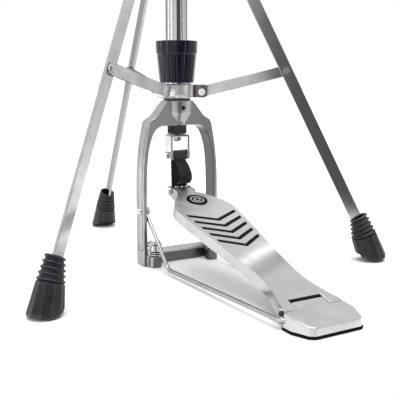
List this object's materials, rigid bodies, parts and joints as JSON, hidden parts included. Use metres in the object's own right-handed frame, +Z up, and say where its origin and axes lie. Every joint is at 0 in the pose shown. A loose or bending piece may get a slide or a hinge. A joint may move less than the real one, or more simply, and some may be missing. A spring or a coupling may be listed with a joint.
{
  "type": "hi-hat stand",
  "caption": "Hi-hat stand with a strap-drive pedal in a cast frame, a swivelling folding tripod, a spring tension knob, a height-adjustable tube, a cymbal seat and a clutch.",
  "frame": {"origin": "on the floor, on the column's axis, in the underside of the frame's crossbar", "axes": "+Z up along the column, -Y towards the player (footboard), +X to the player's right"},
  "size_m": [0.4552, 0.5631, 0.92],
  "materials": {
    "cast_silver": "satin cast",
    "board_silver": "brushed",
    "heel_silver": "satin cast",
    "ring_silver": "polished cast",
    "chrome_tube": "polished",
    "chrome_wire": "polished",
    "clevis_chrome": "polished",
    "leg_chrome": "satin chrome",
    "bright_screws": "zinc plated",
    "spring_steel": "drawn wire",
    "black_steel": "black oxide",
    "black_plastic": "moulded",
    "knob_black": "gloss",
    "badge_black": "gloss",
    "black_rubber": "moulded",
    "foot_rubber": "moulded",
    "black_belt": "woven and coated",
    "grey_felt": "pressed felt"
  },
  "bodies": {
    "base": {"yoke_frame": "cast_silver", "base_crossbar": "cast_silver", "hub_bush": "black_plastic", "hub_set_screw": "black_steel", "lower_tube": "chrome_tube", "rod_pivot_bolts": "bright_screws", "base_rod_left": "chrome_wire", "base_rod_right": "chrome_wire", "heel_plate": "heel_silver", "heel_pad": "black_rubber", "hinge_pin": "black_steel", "swivel_washer": "black_plastic", "tension_collar": "chrome_tube", "spring_seat": "black_plastic", "height_clamp": "cast_silver", "tension_spring": "spring_steel"},
    "footboard": {"footboard": "board_silver", "grip_strips": "black_rubber", "toe_badge": "badge_black", "toe_bracket": "chrome_wire", "toe_bolt": "bright_screws"},
    "pull_rod": {"pull_rod_lower": "chrome_wire", "pull_rod_upper": "chrome_wire", "rod_coupling": "bright_screws", "clevis": "clevis_chrome", "clevis_bolt": "bright_screws", "clevis_nut": "bright_screws", "spring_cap": "black_plastic"},
    "strap": {"strap": "black_belt", "strap_clamp": "black_steel"},
    "tension_knob": {"tension_knob": "knob_black"},
    "swivel": {"swivel_ring": "ring_silver", "ring_bolts": "bright_screws"},
    "brace_left": {"brace_left": "leg_chrome"},
    "brace_right": {"brace_right": "leg_chrome"},
    "brace_rear": {"brace_rear": "leg_chrome"},
    "leg_hub": {"leg_hub": "cast_silver", "leg_hub_bolts": "bright_screws"},
    "leg_hub_wing": {"leg_hub_wing_screw": "bright_screws"},
    "leg_left": {"leg_left": "leg_chrome", "leg_rivet_left": "bright_screws", "foot_left": "foot_rubber"},
    "leg_right": {"leg_right": "leg_chrome", "leg_rivet_right": "bright_screws", "foot_right": "foot_rubber"},
    "leg_rear": {"leg_rear": "leg_chrome", "leg_rivet_rear": "bright_screws", "foot_rear": "foot_rubber"},
    "upper_tube": {"upper_tube": "chrome_tube", "seat_cup": "clevis_chrome", "seat_felt": "grey_felt"},
    "height_wing": {"height_wing_screw": "bright_screws"},
    "seat_tilt": {"seat_tilt_screw": "bright_screws"},
    "clutch": {"clutch_body": "clevis_chrome", "clutch_felts": "grey_felt", "clutch_nuts": "bright_screws"},
    "clutch_wing": {"clutch_wing_screw": "bright_screws"},
    "spur_left": {"spur_screw_left": "bright_screws"},
    "spur_right": {"spur_screw_right": "bright_screws"}
  },
  "joints": [
    {"name": "pedal_press", "type": "hinge", "parent": "base", "child": "footboard", "pos_m": [0, -0.2605, 0.0126], "axis": [-1, 0, 0], "range_deg": [0, 8], "stiffness_Nm_per_rad": 10, "springref_deg": -20.05},
    {"name": "pull_rod_slide", "type": "slide", "parent": "base", "child": "pull_rod", "axis": [0, 0, -1], "range_m": [0, 0.0366], "deforming": ["tension_spring"]},
    {"name": "strap_swing", "type": "hinge", "parent": "pull_rod", "child": "strap", "pos_m": [0, 0, 0.1325], "axis": [1, 0, 0], "range_deg": [0, 10.8]},
    {"name": "tension_knob_turn", "type": "hinge", "parent": "base", "child": "tension_knob", "pos_m": [0, 0, 0.244], "axis": [0, 0, 1], "continuous": true},
    {"name": "leg_swivel", "type": "hinge", "parent": "base", "child": "swivel", "pos_m": [0, 0, 0.2093], "axis": [0, 0, 1], "range_deg": [-25, 25]},
    {"name": "leg_hub_slide", "type": "slide", "parent": "swivel", "child": "leg_hub", "axis": [0, 0, 1], "range_m": [0, 0.0935]},
    {"name": "leg_hub_wing_turn", "type": "hinge", "parent": "leg_hub", "child": "leg_hub_wing", "pos_m": [0, -0.025, 0.441], "axis": [0, -1, 0], "range_deg": [0, 180]},
    {"name": "upper_tube_height", "type": "slide", "parent": "base", "child": "upper_tube", "axis": [0, 0, 1], "range_m": [-0.05, 0.035]},
    {"name": "height_wing_turn", "type": "hinge", "parent": "base", "child": "height_wing", "pos_m": [0, -0.025, 0.596], "axis": [0, -1, 0], "range_deg": [0, 180]},
    {"name": "seat_tilt_turn", "type": "hinge", "parent": "upper_tube", "child": "seat_tilt", "pos_m": [0.02, 0, 0.672], "axis": [0, 0, 1], "range_deg": [-180, 180]},
    {"name": "clutch_slide", "type": "slide", "parent": "pull_rod", "child": "clutch", "axis": [0, 0, 1], "range_m": [-0.01, 0.04]},
    {"name": "clutch_wing_turn", "type": "hinge", "parent": "clutch", "child": "clutch_wing", "pos_m": [0, -0.018, 0.858], "axis": [0, -1, 0], "range_deg": [0, 180]},
    {"name": "spur_left_lift", "type": "slide", "parent": "base", "child": "spur_left", "axis": [0, 0, 1], "range_m": [0, 0.01]},
    {"name": "spur_right_lift", "type": "slide", "parent": "base", "child": "spur_right", "axis": [0, 0, 1], "range_m": [0, 0.01]},
    {"name": "leg_fold_left", "type": "hinge", "parent": "leg_hub", "child": "leg_left", "pos_m": [-0.02425, -0.014, 0.441], "axis": [0.5, -0.866, 0], "range_deg": [0, 16.65]},
    {"name": "brace_fold_left", "type": "hinge", "parent": "swivel", "child": "brace_left", "pos_m": [-0.02598, -0.015, 0.2083], "axis": [-0.5, 0.866, 0], "range_deg": [0, 54.7]},
    {"name": "leg_fold_right", "type": "hinge", "parent": "leg_hub", "child": "leg_right", "pos_m": [0.02425, -0.014, 0.441], "axis": [0.5, 0.866, 0], "range_deg": [0, 16.65]},
    {"name": "brace_fold_right", "type": "hinge", "parent": "swivel", "child": "brace_right", "pos_m": [0.02598, -0.015, 0.2083], "axis": [-0.5, -0.866, 0], "range_deg": [0, 54.7]},
    {"name": "leg_fold_rear", "type": "hinge", "parent": "leg_hub", "child": "leg_rear", "pos_m": [0, 0.028, 0.441], "axis": [-1, 0, 0], "range_deg": [0, 16.65]},
    {"name": "brace_fold_rear", "type": "hinge", "parent": "swivel", "child": "brace_rear", "pos_m": [0, 0.03, 0.2083], "axis": [1, 0, 0], "range_deg": [0, 54.7]}
  ],
  "couplings": [
    {"joint": "pull_rod_slide", "follows": "pedal_press", "m_per_rad": 0.26113},
    {"joint": "strap_swing", "follows": "pedal_press", "ratio": 1.3365},
    {"joint": "leg_fold_left", "follows": "leg_hub_slide", "rad_per_m": 3.0987},
    {"joint": "brace_fold_left", "follows": "leg_hub_slide", "rad_per_m": 10.192},
    {"joint": "leg_fold_right", "follows": "leg_hub_slide", "rad_per_m": 3.0987},
    {"joint": "brace_fold_right", "follows": "leg_hub_slide", "rad_per_m": 10.192},
    {"joint": "leg_fold_rear", "follows": "leg_hub_slide", "rad_per_m": 3.0987},
    {"joint": "brace_fold_rear", "follows": "leg_hub_slide", "rad_per_m": 10.192}
  ]
}
